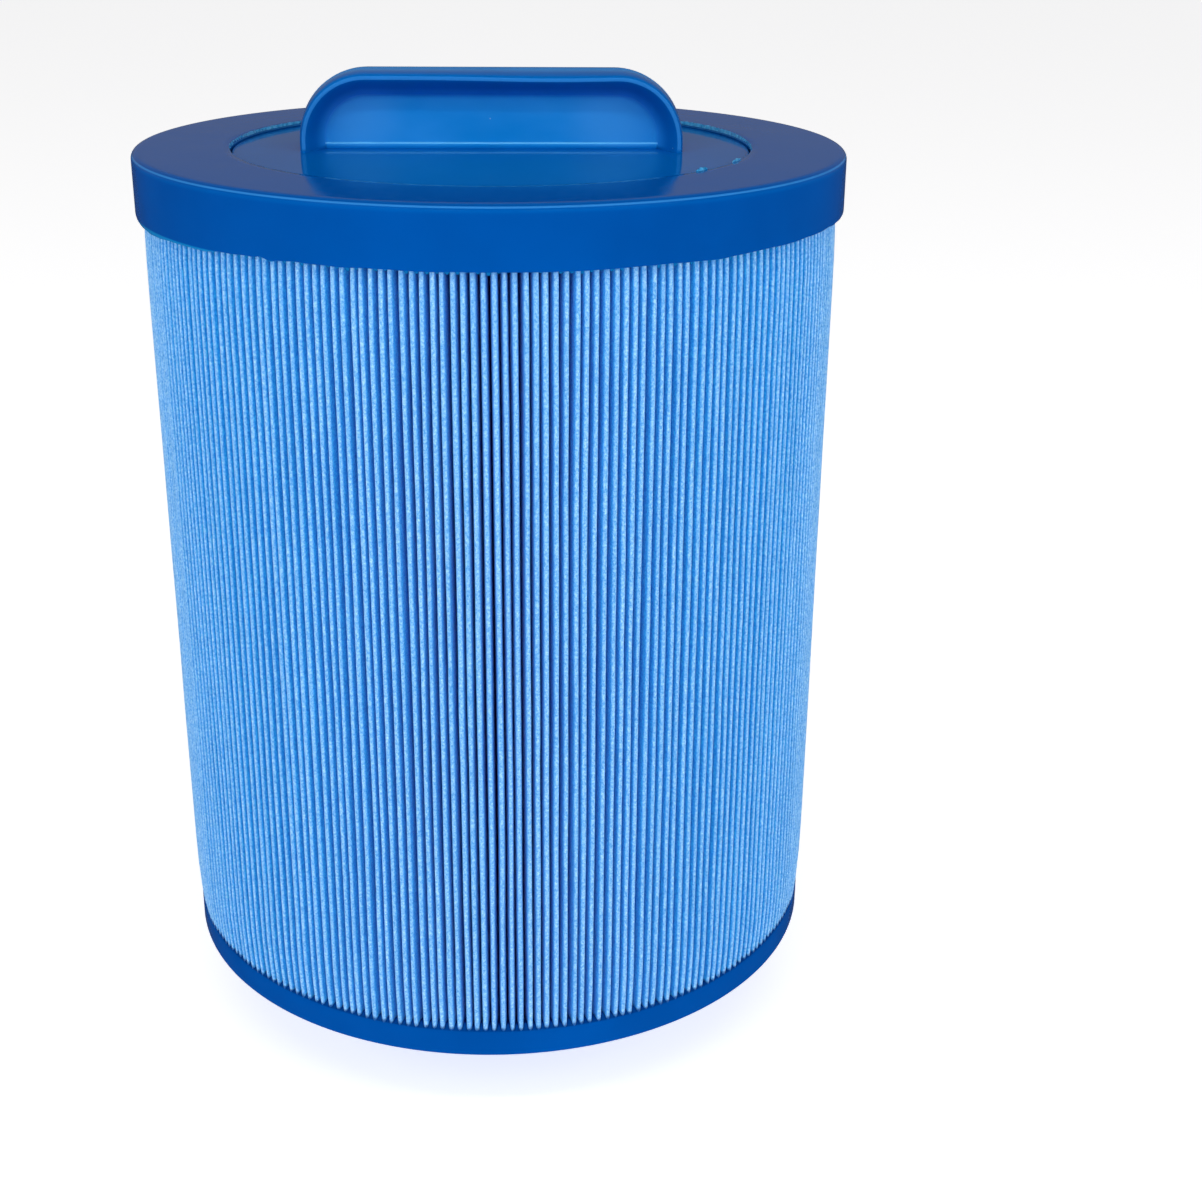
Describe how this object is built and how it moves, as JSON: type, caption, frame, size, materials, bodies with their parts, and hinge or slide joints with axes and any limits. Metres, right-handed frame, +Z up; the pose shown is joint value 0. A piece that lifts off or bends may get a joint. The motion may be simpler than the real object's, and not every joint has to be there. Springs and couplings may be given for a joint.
{
  "type": "filter cartridge",
  "caption": "Upright spa filter cartridge: pleated fabric ring between two cast blue end caps, bar handle on top, threaded outlet stub below.",
  "frame": {"origin": "centre of the outlet stub's end face, the lowest face, which the cartridge stands on", "axes": "+Z up along the cartridge's axis towards the handle; the handle's web lies in the XZ plane, so the bar runs along X"},
  "size_m": [0.152, 0.152, 0.2226],
  "materials": {
    "cap_polyurethane": "satin",
    "handle_plastic": "gloss",
    "core_plastic": "matte",
    "media_fabric": "matte",
    "seam_adhesive": "satin",
    "adapter_plastic": "satin"
  },
  "bodies": {
    "root": {"top_end_cap": "cap_polyurethane", "handle_plate": "handle_plastic", "centre_core": "core_plastic", "pleated_media": "media_fabric", "media_seam_bead": "seam_adhesive", "bottom_end_cap": "cap_polyurethane", "threaded_adapter": "adapter_plastic"}
  },
  "joints": []
}
